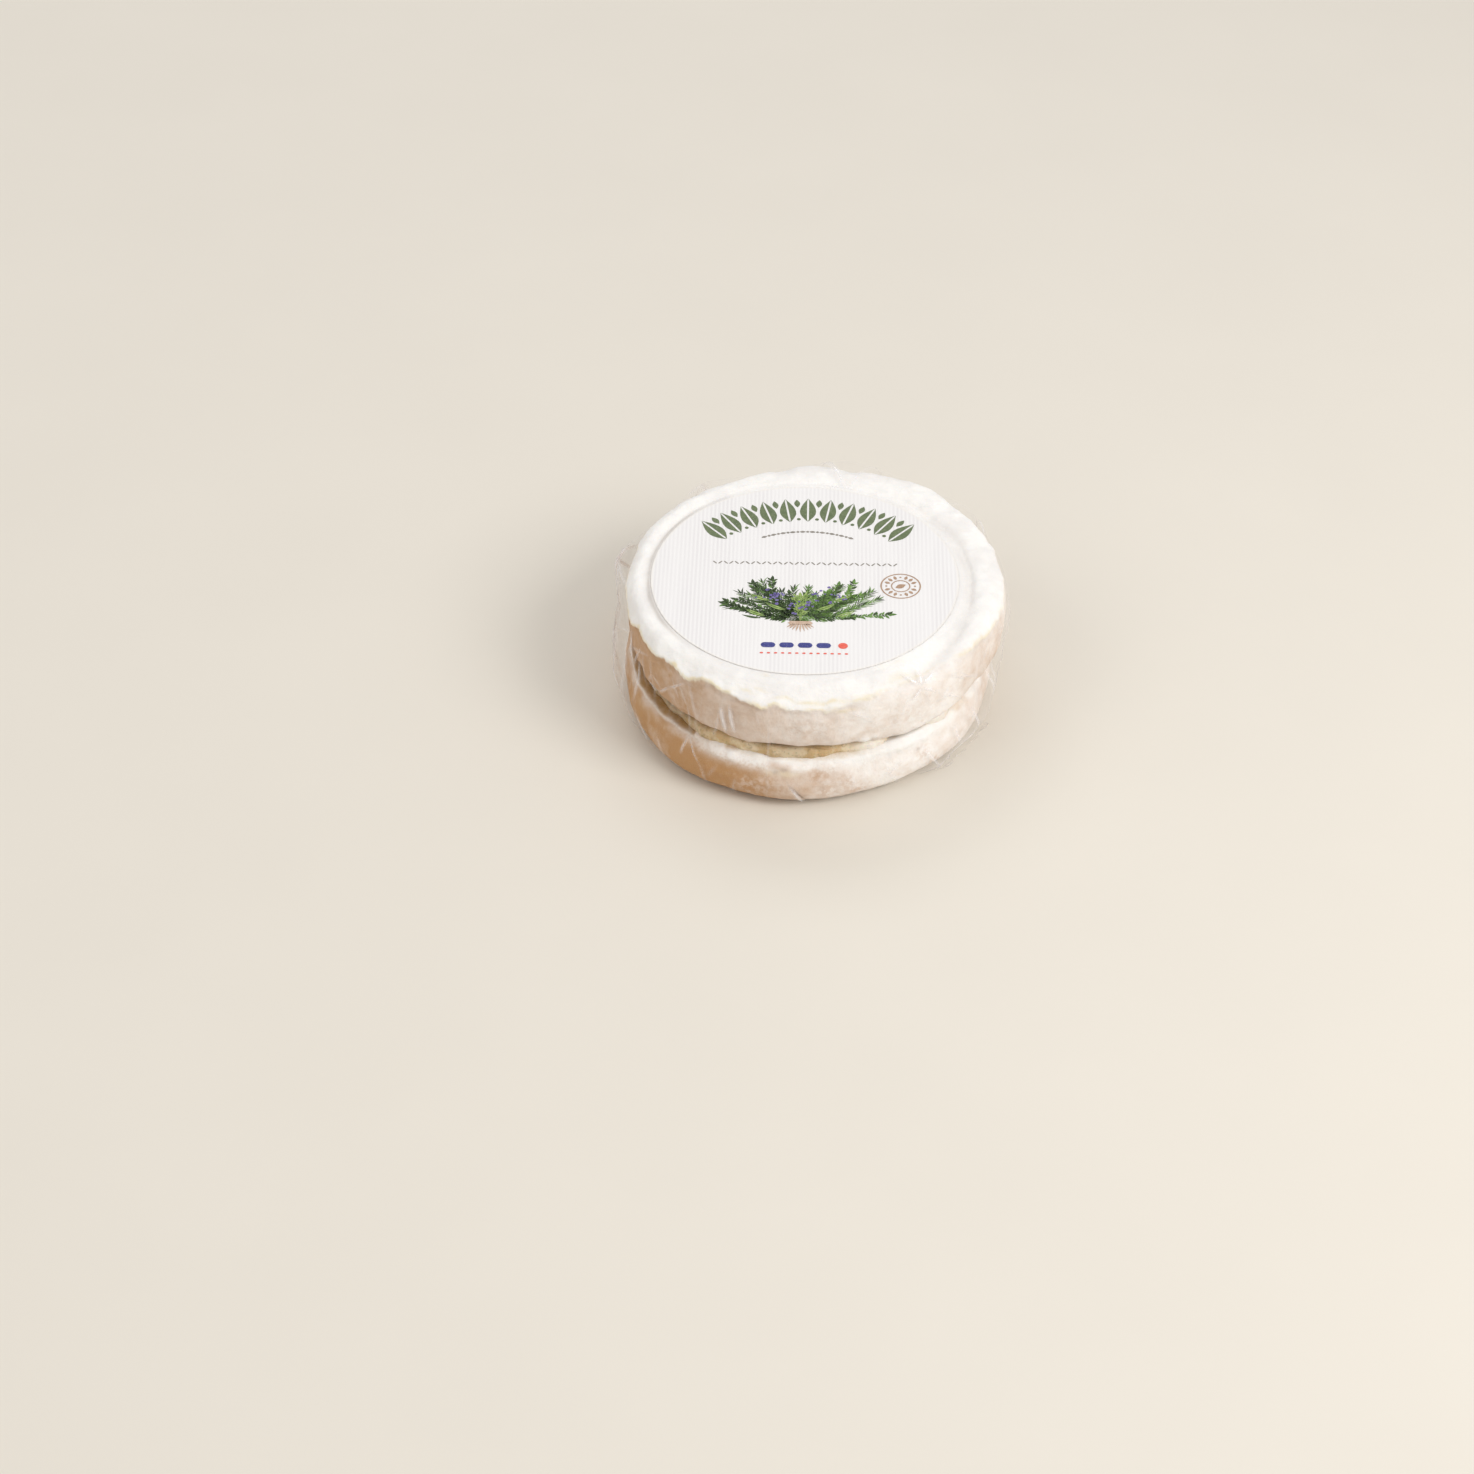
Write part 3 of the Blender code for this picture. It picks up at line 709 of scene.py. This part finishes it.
class Print:
    """Flat shapes of one ink, laid on the paper; places are given from the label's middle."""

    def __init__(self):
        self.points = []
        self.faces = []

    def strip(self, left, right):
        """Shape between two edges, each a line of places."""
        first = len(self.points)
        for a, b in zip(left, right):
            self.points += [tuple(a), tuple(b)]
        for step in range(len(left) - 1):
            at = first + 2 * step
            self.faces.append((at, at + 1, at + 3, at + 2))

    def leaf(self, base, heading, length, width, bend=0.0, fullest=0.45, steps=9, split=0.0):
        """Pointed leaf from its base along a heading in degrees; split opens its midrib."""
        places, sides = [], []
        place = np.array(base, float)
        for step in range(steps + 1):
            share = step / steps
            way = toward(heading + bend * (share - 0.5))
            if share < fullest:
                swell = math.sin(math.pi / 2.0 * share / fullest)
            else:
                swell = math.cos(math.pi / 2.0 * (share - fullest) / (1.0 - fullest))
            places.append(place)
            sides.append(np.array([-way[1], way[0]]) * width / 2.0 * max(swell, 0.02))
            place = place + way * length / steps
        places, sides = np.array(places), np.array(sides)
        if split:
            inner = sides * np.minimum(1.0, split / np.linalg.norm(sides, axis=-1, keepdims=True))
            self.strip(places + sides, places + inner)
            self.strip(places - inner, places - sides)
        else:
            self.strip(places + sides, places - sides)

    def disc(self, middle, radius, squash=1.0, steps=12):
        turns = np.linspace(0.0, math.pi, steps)
        x, y = middle[0] - radius * np.cos(turns), radius * squash * np.sin(turns)
        self.strip(np.column_stack([x, middle[1] + y]), np.column_stack([x, middle[1] - y]))

    def ring(self, middle, radius, width, steps=72):
        ways = toward(np.linspace(0.0, 360.0, steps))
        self.strip(middle + ways * (radius - width / 2.0), middle + ways * (radius + width / 2.0))

    def bar(self, start, end, width, steps=12):
        """Straight bar with rounded ends."""
        start, end = np.array(start, float), np.array(end, float)
        length = np.linalg.norm(end - start)
        way = (end - start) / length
        side = np.array([-way[1], way[0]]) * width / 2.0
        shares = np.linspace(0.0, 1.0, steps)[:, None]
        near = np.minimum(shares, 1.0 - shares) * length / (width / 2.0)
        swell = np.sqrt(1.0 - (1.0 - np.minimum(near, 1.0)) ** 2)
        middle = start + (end - start) * shares
        self.strip(middle + side * swell, middle - side * swell)

    def finish(self, name, shade, second, rise):
        x, y = np.array(self.points).T
        cosine, sine = math.cos(LABEL_TURN), math.sin(LABEL_TURN)
        x, y = x * cosine - y * sine, x * sine + y * cosine
        points = np.stack([x + LABEL_X, y + LABEL_Y, paper_height(x, y) + rise], axis=-1)
        corner = np.stack([x, y], axis=-1)[np.array(self.faces)]
        after = np.roll(corner, -1, axis=1)
        area = np.sum(corner[..., 0] * after[..., 1] - corner[..., 1] * after[..., 0], axis=1)
        faces = [face if size >= 0.0 else face[::-1] for face, size in zip(self.faces, area)]
        dress(add_piece(name, points, faces), ink_paint(name, shade, second))


def label_print():
    """Plain generic print: an arc of leaves, a dotted arc, a rule, a spray of herbs, a ring."""
    chance = np.random.default_rng(7)
    olive, grey, brown, dark, green, light, purple, tan, navy, red = (Print() for _ in range(10))

    # Arc of bold leaves, each pointing out, with small lozenges between them, and a dotted arc
    arc_middle = np.array([0.6, -7.5])
    for number in range(11):
        heading = 132.5 - 8.5 * number
        olive.leaf(arc_middle + toward(heading) * 33.4, heading, 10.9, 4.6, split=0.28, fullest=0.42)
        if number < 10:
            heading -= 4.25
            olive.leaf(arc_middle + toward(heading) * 40.2, heading, 3.6, 1.7, fullest=0.5)
            olive.disc(arc_middle + toward(heading) * 34.6, 0.55)
    for number in range(19):
        heading = 115.0 - 50.0 / 18.0 * number
        place = arc_middle + toward(heading) * 28.6
        if number % 2:
            grey.disc(place, 0.42)
        else:
            grey.leaf(place - toward(heading - 90.0) * 0.9, heading - 90.0, 1.8, 0.9)

    # Thin rule of small slanted strokes
    for number in range(34):
        x, slant = -25.0 + 50.0 / 33.0 * number, 0.62 if number % 2 else -0.62
        grey.bar((x - 0.55, 6.4 - slant), (x + 0.55, 6.4 + slant), 0.4, 7)

    # Spray of herbs: stems fan out from a tie at the middle, needles on some and leaves on others
    root = np.array([-1.0, -19.5])
    for number in range(40):
        heading = 90.0 + (number * 23 % 40 - 19.5) * 4.3 + chance.uniform(-3.0, 3.0)
        length = 11.0 + 12.0 * abs(toward(heading)[0]) ** 1.2 + chance.uniform(-3.5, 2.0)
        ink = (green, dark, green, dark, green, dark, light)[number % 7]
        needles = number % 2 == 0
        leans, sizes = ((22.0, 40.0), (2.0, 3.4)) if needles else ((35.0, 65.0), (1.2, 2.2))
        place, turn = root, heading
        bend = chance.uniform(-1.6, 1.6) - (heading - 90.0) * 0.012
        steps = int(length / 0.8)
        for step in range(steps):
            way = toward(turn)
            after = place + way * 0.8
            ink.bar(place, after + way * 0.2, 0.2, 4)
            if step > steps * 0.12:
                for side in (1.0, -1.0):
                    second = (ink, dark, green, ink)[int(chance.uniform(0, 3.99))]
                    lean, size = chance.uniform(*leans), chance.uniform(*sizes)
                    width = 0.3 if needles else size * 0.38
                    second.leaf(after, turn + side * lean, size, width, side * 14.0, steps=4)
            place, turn = after, turn + bend
        ink.leaf(place, turn, 2.6, 0.5 if needles else 1.0, steps=5)
    for side in (1.0, -1.0):
        for lift, out in ((5.0, 4.0), (9.0, 8.5), (2.2, 9.5)):
            place = root + (side * out, lift)
            light.leaf(place, 90.0 - side * 60.0, 6.5, 1.3, side * 26.0, split=0.1, steps=10)
            place = place + (side * 1.2, -1.0)
            dark.leaf(place, 90.0 - side * 74.0, 5.5, 0.9, side * 20.0, steps=8)
    for number in range(60):
        x, y = ((-8.0, -9.0), (6.5, -8.0), (-0.5, -12.5))[number % 3]
        place = chance.normal(x, 2.2), chance.normal(y, 1.6)
        purple.disc(place, chance.uniform(0.25, 0.55), chance.uniform(0.7, 1.0), 7)
    tan.bar((-4.4, -20.2), (2.4, -20.2), 1.7)
    for number in range(-4, 5):
        place, length = root + (number * 0.45, -0.9), 3.8 - abs(number) * 0.3
        tan.leaf(place, -90.0 + number * 12.0, length, 0.55, steps=6)

    # Round mark: two rings, dots and small leaves between them, and a leaf at its middle
    mark = np.array([26.4, -3.2])
    brown.ring(mark, 5.4, 0.38)
    brown.ring(mark, 2.5, 0.32)
    for number in range(16):
        heading = number * 22.5
        if number % 4:
            brown.leaf(mark + toward(heading) * 3.1, heading, 1.7, 0.95, steps=5)
        else:
            brown.disc(mark + toward(heading) * 3.95, 0.3, steps=8)
    brown.leaf(mark - (1.4, 0.8), 28.0, 3.2, 1.8, steps=8)

    # Foot of the label: navy bars with a red dot, and a thin red row below
    for start, end in ((-11.6, -7.6), (-6.6, -2.6), (-1.6, 2.4), (3.4, 7.4)):
        navy.bar((start, -29.9), (end, -29.9), 2.2, 14)
    red.disc((10.6, -29.9), 1.3)
    for number in range(13):
        x = -11.3 + 1.9 * number
        red.bar((x - 0.5, -33.4), (x + 0.5, -33.4), 0.62, 6)

    shades = (
        (grey, "print_grey", (0.52, 0.50, 0.46), (0.60, 0.57, 0.54)),
        (olive, "print_olive", (0.36, 0.42, 0.28), (0.43, 0.48, 0.34)),
        (green, "print_green", (0.31, 0.46, 0.18), (0.46, 0.61, 0.28)),
        (dark, "print_dark_green", (0.15, 0.22, 0.09), (0.26, 0.36, 0.14)),
        (light, "print_light_green", (0.50, 0.62, 0.30), (0.64, 0.73, 0.42)),
        (purple, "print_purple", (0.36, 0.31, 0.58), (0.50, 0.45, 0.68)),
        (tan, "print_tan", (0.74, 0.62, 0.52), (0.82, 0.72, 0.64)),
        (brown, "print_brown", (0.66, 0.53, 0.43), (0.72, 0.60, 0.50)),
        (navy, "print_navy", (0.20, 0.22, 0.50), (0.27, 0.29, 0.56)),
        (red, "print_red", (0.90, 0.36, 0.30), (0.93, 0.45, 0.38)),
    )
    for layer, (ink, name, first, second) in enumerate(shades):
        ink.finish(name, tone(*first), tone(*second), 0.035 + 0.004 * layer)


# Film

# Creases that show: two ends as angle and level, width, height (below 0: a valley), milkiness. The
# milkiness is partly whitened film, partly painted highlight
NAMED_CREASES = (
    (241.6, 30.6, 243.4, 21.0, 1.2, 0.5, 0.75), (244.3, 31.6, 246.2, 22.0, 1.1, 0.5, 0.7),
    (243.0, 31.0, 244.6, 22.0, 0.7, -0.3, 0.0), (211.6, 24.0, 216.5, 22.2, 0.7, 0.3, 0.5),
    (216.5, 22.2, 221.0, 26.0, 0.7, 0.35, 0.6), (221.0, 26.0, 228.0, 31.5, 0.7, 0.35, 0.55),
    (211.6, 24.0, 214.0, 27.0, 0.6, 0.3, 0.45), (214.0, 27.0, 217.0, 24.6, 0.6, 0.3, 0.45),
    (304.4, 32.7, 299.0, 36.2, 0.7, 0.35, 0.55), (304.4, 32.7, 310.0, 29.0, 0.7, 0.35, 0.5),
    (304.4, 32.7, 311.0, 34.8, 0.7, 0.3, 0.5), (304.4, 32.7, 300.6, 29.6, 0.8, 0.4, 0.7),
    (304.4, 32.7, 306.0, 36.0, 0.7, 0.35, 0.6), (263.0, 9.0, 267.4, 2.4, 0.9, 0.5, 0.65),
    (264.4, 9.2, 268.6, 3.2, 0.7, -0.4, 0.0), (256.3, 33.0, 257.0, 1.4, 0.6, 0.22, 0.28),
    (199.0, 33.0, 204.0, 24.0, 0.8, 0.35, 0.45), (204.0, 24.0, 206.5, 31.5, 0.8, 0.35, 0.45),
    (200.0, 28.0, 212.0, 31.5, 0.7, 0.3, 0.35), (222.0, 31.0, 226.0, 24.0, 0.7, 0.3, 0.3),
    (224.5, 31.0, 229.0, 24.5, 0.7, 0.3, 0.35), (208.0, 31.5, 211.0, 21.0, 0.7, 0.25, 0.3),
    (236.0, 10.5, 238.5, 2.5, 0.8, 0.35, 0.3), (247.5, 9.0, 246.0, 2.0, 0.7, 0.3, 0.3),
    (270.0, 33.0, 271.5, 22.0, 0.8, 0.2, 0.2), (277.5, 31.0, 279.0, 21.5, 0.8, 0.2, 0.22),
    (280.5, 12.5, 283.5, 2.0, 0.8, 0.3, 0.3), (292.0, 11.0, 297.0, 1.6, 0.9, 0.35, 0.35),
    (305.0, 12.0, 312.0, 2.0, 0.9, 0.4, 0.45), (318.0, 14.0, 322.0, 3.0, 0.9, 0.4, 0.45),
    (325.0, 16.5, 331.0, 5.0, 0.9, 0.4, 0.5), (310.0, 29.0, 322.0, 21.0, 0.9, 0.35, 0.4),
    (314.0, 33.0, 330.0, 24.0, 0.9, 0.35, 0.4), (252.5, 32.0, 254.5, 24.0, 0.7, 0.2, 0.25),
    (207.5, 29.0, 206.8, 13.0, 1.2, 0.4, 0.45), (206.8, 13.0, 216.0, 2.0, 1.2, 0.4, 0.45),
    (171.0, 34.0, 175.0, 14.0, 1.6, 0.4, 0.25), (181.0, 32.0, 183.0, 10.0, 1.8, 0.45, 0.28),
    (189.5, 33.0, 192.0, 7.0, 1.6, 0.4, 0.3), (198.0, 31.0, 200.5, 4.0, 1.5, 0.4, 0.3),
    (218.0, 11.0, 222.5, 3.0, 1.1, 0.3, 0.25), (160.0, 33.0, 172.0, 27.0, 1.2, 0.4, 0.35),
    (158.0, 34.5, 166.0, 30.0, 0.8, 0.3, 0.85), (166.0, 30.0, 176.0, 24.0, 0.8, 0.3, 0.85),
    (176.0, 24.0, 187.0, 18.0, 0.8, 0.3, 0.8), (187.0, 18.0, 198.0, 7.0, 0.8, 0.3, 0.75),
    (198.0, 7.0, 206.0, 1.5, 0.7, 0.3, 0.45),
)

# Corners where the film stands off the rind: angle, level. Creases fan out from them
FILM_CORNERS = (
    (190.0, 28.0), (167.0, 34.0), (124.0, 36.0), (76.0, 36.0), (34.0, 34.0), (352.0, 30.0),
    (338.0, 12.0), (314.0, 4.0), (232.0, 17.0), (140.0, 10.0), (60.0, 9.0),
)

# Slack places of the film: angle, level, half width round the side, half height, strength
FILM_SLACK = (
    (180.0, 17.0, 15.0, 18.0, 1.0), (166.0, 28.0, 13.0, 14.0, 0.9), (124.0, 36.0, 9.0, 6.0, 1.0),
    (77.0, 36.0, 12.0, 6.0, 0.6), (34.0, 33.0, 10.0, 7.0, 0.8), (336.0, 9.0, 12.0, 7.0, 0.6),
    (314.0, 2.5, 7.0, 3.0, 0.6),
)

# Loose edges of the film at the foot: angle, turn round, width, rise
FILM_FLAPS = (
    (333.5, 5.0, 2.2, 2.0), (328.0, 4.0, 1.4, 1.2), (320.5, 4.0, 1.5, 1.6), (311.5, 7.0, 1.7, 0.8),
    (146.0, 6.0, 1.8, 1.4), (64.0, 7.0, 1.8, 1.3), (12.0, 5.0, 1.6, 1.2),
)


def crease_list():
    """Named creases, fans from the film's corners, and small ones all round."""
    chance = np.random.default_rng(23)
    creases = list(NAMED_CREASES)
    for angle, level in FILM_CORNERS:
        for _ in range(4):
            turn = chance.uniform(0.0, 2.0 * math.pi)
            length = chance.uniform(8.0, 18.0)
            end_angle = angle + length * math.cos(turn)
            end_level = np.clip(level + length * math.sin(turn), 1.0, 36.0)
            height, width = chance.uniform(0.15, 0.5), chance.uniform(0.5, 0.9)
            creases.append((angle, level, end_angle, end_level, width, height, height * 1.2))
    for _ in range(120):
        angle, level = chance.uniform(0.0, 360.0), chance.uniform(2.0, 32.0)
        lean = chance.choice([90.0, 90.0, 60.0, 120.0, 20.0, 160.0])
        turn = math.radians(lean + chance.normal(0.0, 14.0))
        length = chance.uniform(6.0, 17.0)
        end_angle = angle + length * math.cos(turn)
        end_level = np.clip(level + length * math.sin(turn), 1.0, 33.0)
        height = chance.uniform(0.1, 0.36) * chance.choice([1.0, 1.0, -1.0])
        height *= 0.4 if 150.0 < angle < 208.0 else 1.0
        width, whitening_and_glint = chance.uniform(0.6, 1.2), max(0.0, height) * 1.1
        creases.append((angle, level, end_angle, end_level, width, height, whitening_and_glint))
    return creases


def film_sheet():
    """Clear skin with its creases, and the loose edges at its foot."""
    grid = laid_over("film_wrap", (LABEL_X, LABEL_Y, 40.4, 18.5), 164, 590, degrees=0.9, steps=1)
    normal = outward(grid)
    angle, away, level = round_wheel(grid)
    way = path_length(grid)
    column_angle = angle[len(angle) // 2]

    def way_at(at_angle, at_level):
        """Way along its column of a place on the side."""
        column = int(np.argmin(np.abs(turned_from(column_angle, at_angle))))
        outer = np.nonzero((level[:, column] < at_level) & (away[:, column] > 43.0))[0]
        return way[outer[0] if len(outer) else -1, column]

    height = np.zeros(angle.shape)
    whitening_and_glint = np.zeros(angle.shape)
    for start_angle, start_level, end_angle, end_level, width, crest, white in crease_list():
        turn, start_way = turned_from(end_angle, start_angle), way_at(start_angle, start_level)
        along_x, along_y = turn * DEGREE, way_at(end_angle, end_level) - start_way
        length = max(math.hypot(along_x, along_y), 0.5)
        from_middle = np.abs(turned_from(column_angle, start_angle + turn / 2.0))
        near = np.nonzero(from_middle < abs(turn) + 6.0)[0]
        from_x, from_y = turned_from(angle[:, near], start_angle) * DEGREE, way[:, near] - start_way
        share = (from_x * along_x + from_y * along_y) / length ** 2
        off = np.abs(from_x * along_y - from_y * along_x) / length / width
        taper = np.clip(np.sin(math.pi * np.clip(share, 0.0, 1.0)), 0.0, 1.0) ** 0.6
        taper *= away[:, near] > 42.0
        height[:, near] += crest * taper * np.clip(1.0 - off / 1.5, 0.0, 1.0) ** 2
        # Whitening along the crease, partly a painted highlight
        milky = white * taper * np.clip(1.0 - off / 0.9, 0.0, 1.0)
        whitening_and_glint[:, near] = np.maximum(whitening_and_glint[:, near], milky)

    from_label = np.hypot(grid[..., 0] - LABEL_X, grid[..., 1] - LABEL_Y)
    free = eased(0.3, 1.2, level) * eased(LABEL_RADIUS + 0.2, LABEL_RADIUS + 3.0, from_label)
    lip = lip_over(below_edge(grid, way), round_table(EDGE_CRISPNESS, angle))
    height = height + lip * 0.7 + creased(grid * np.array([1.0, 1.0, 0.4]), 8.0, 71) * 0.1
    height = np.clip(height, -0.35, 1.1) * free - 0.1
    grid = tucked_under(grid + normal * height[..., None], FILM_GAP)
    grid[..., 2] = np.maximum(grid[..., 2], FILM_FOOT)
    slack = spots_at(angle, level, FILM_SLACK)
    slack *= eased(35.8, 33.0, level - 3.5 * hump(turned_from(angle, 100.0), 0.0, 45.0))
    masks = {"crease": whitening_and_glint, "slack": slack, "side": eased(35.0, 32.0, level)}
    clear_film = film_paint()
    dress(sheet("clear_film", grid, masks, closed=False), clear_film, "film_wrap")
    film_flaps(clear_film)


def film_flaps(clear_film):
    """Loose crumpled edges of the film at the foot."""
    rows, columns = 6, 15
    shares = np.linspace(0.0, 1.0, rows), np.linspace(0.0, 1.0, columns)
    across, along = np.meshgrid(*shares, indexing="ij")
    taper = np.sin(math.pi * along) ** 0.7
    index = np.arange(rows * columns).reshape(rows, columns)
    corners = index[:-1, :-1], index[:-1, 1:], index[1:, 1:], index[1:, :-1]
    squares = np.stack(corners, axis=-1).reshape(-1, 4)
    points, faces, whitening_and_glint = [], [], []
    for angle, turn, width, rise in FILM_FLAPS:
        turns = np.radians(angle + turn * along)
        crumple = lumps(np.stack([turns * 40.0, across * width, angle * along], axis=-1), 1.4, 81)
        out = 51.4 + across * width * taper * (1.0 + 0.35 * crumple)
        level = 0.25 + across * rise * taper + 0.35 * across * (1.0 + crumple)
        grid = np.stack([WHEEL_X + out * np.cos(turns), WHEEL_Y + out * np.sin(turns), level], axis=-1)
        faces += (squares + len(points)).tolist()
        points += grid.reshape(-1, 3).tolist()
        # Painted highlights: the crumples and the outer edge of each flap are whitened
        whitening_and_glint += (0.15 + 0.5 * np.abs(crumple) + 0.3 * (across > 0.85)).ravel().tolist()
    masks = {"crease": whitening_and_glint, "slack": [0.0] * len(whitening_and_glint), "side": [1.0] * len(whitening_and_glint)}
    dress(add_piece("film_flaps", points, faces, masks), clear_film)


# Camera, lights and floor


def add_camera():
    camera = bpy.data.cameras.new("view")
    # Focal length and width of the picture, both in its own points
    focal_length, picture_width = 3290.0, 1474.0
    camera.sensor_width = 36.0
    camera.lens = 36.0 * focal_length / picture_width
    camera.clip_start = 0.01
    placed = bpy.data.objects.new("view", camera)
    placed.location = ((LABEL_X - 18.71) * MM, (LABEL_Y - 720.91) * MM, 590.65 * MM)
    looks_down = 40.3
    placed.rotation_euler = (math.radians(90.0 - looks_down), 0.0, 0.0)
    bpy.context.scene.collection.objects.link(placed)
    bpy.context.scene.camera = placed


def add_softbox(name, azimuth, elevation, distance, width, height, power, shade):
    light = bpy.data.lights.new(name, "AREA")
    light.shape = "RECTANGLE"
    light.size, light.size_y = width, height
    light.energy = power
    light.color = shade
    placed = bpy.data.objects.new(name, light)
    turn, rise = math.radians(azimuth), math.radians(elevation)
    way = Vector((math.cos(rise) * math.cos(turn), math.cos(rise) * math.sin(turn), math.sin(rise)))
    placed.location = way * distance
    placed.rotation_euler = way.to_track_quat("Z", "Y").to_euler()
    bpy.context.scene.collection.objects.link(placed)


def add_studio():
    add_softbox("key", -32.0, 40.0, 1.1, 0.5, 0.5, 5.95, (1.0, 0.99, 0.98))
    add_softbox("back", 100.0, 45.0, 1.3, 0.9, 0.45, 2.9, (0.97, 0.98, 1.0))
    add_softbox("left", 196.0, 42.0, 1.2, 1.0, 0.6, 2.6, (1.0, 0.98, 0.95))
    world = bpy.data.worlds.new("studio")
    world.use_nodes = True
    world.node_tree.nodes["Background"].inputs["Color"].default_value = (1.0, 0.99, 0.98, 1.0)
    world.node_tree.nodes["Background"].inputs["Strength"].default_value = 0.55
    bpy.context.scene.world = world
    bpy.context.scene.view_settings.view_transform = "Standard"

    half = 1500.0
    corners = [(-half, -half, 0.0), (half, -half, 0.0), (half, half, 0.0), (-half, half, 0.0)]
    floor = add_piece("floor", corners, [(0, 1, 2, 3)], smooth=False)
    floor.data.materials.append(floor_paint())


upper_rind()
lower_rind()
herb_cream()
paper_label()
label_print()
film_sheet()
add_camera()
add_studio()
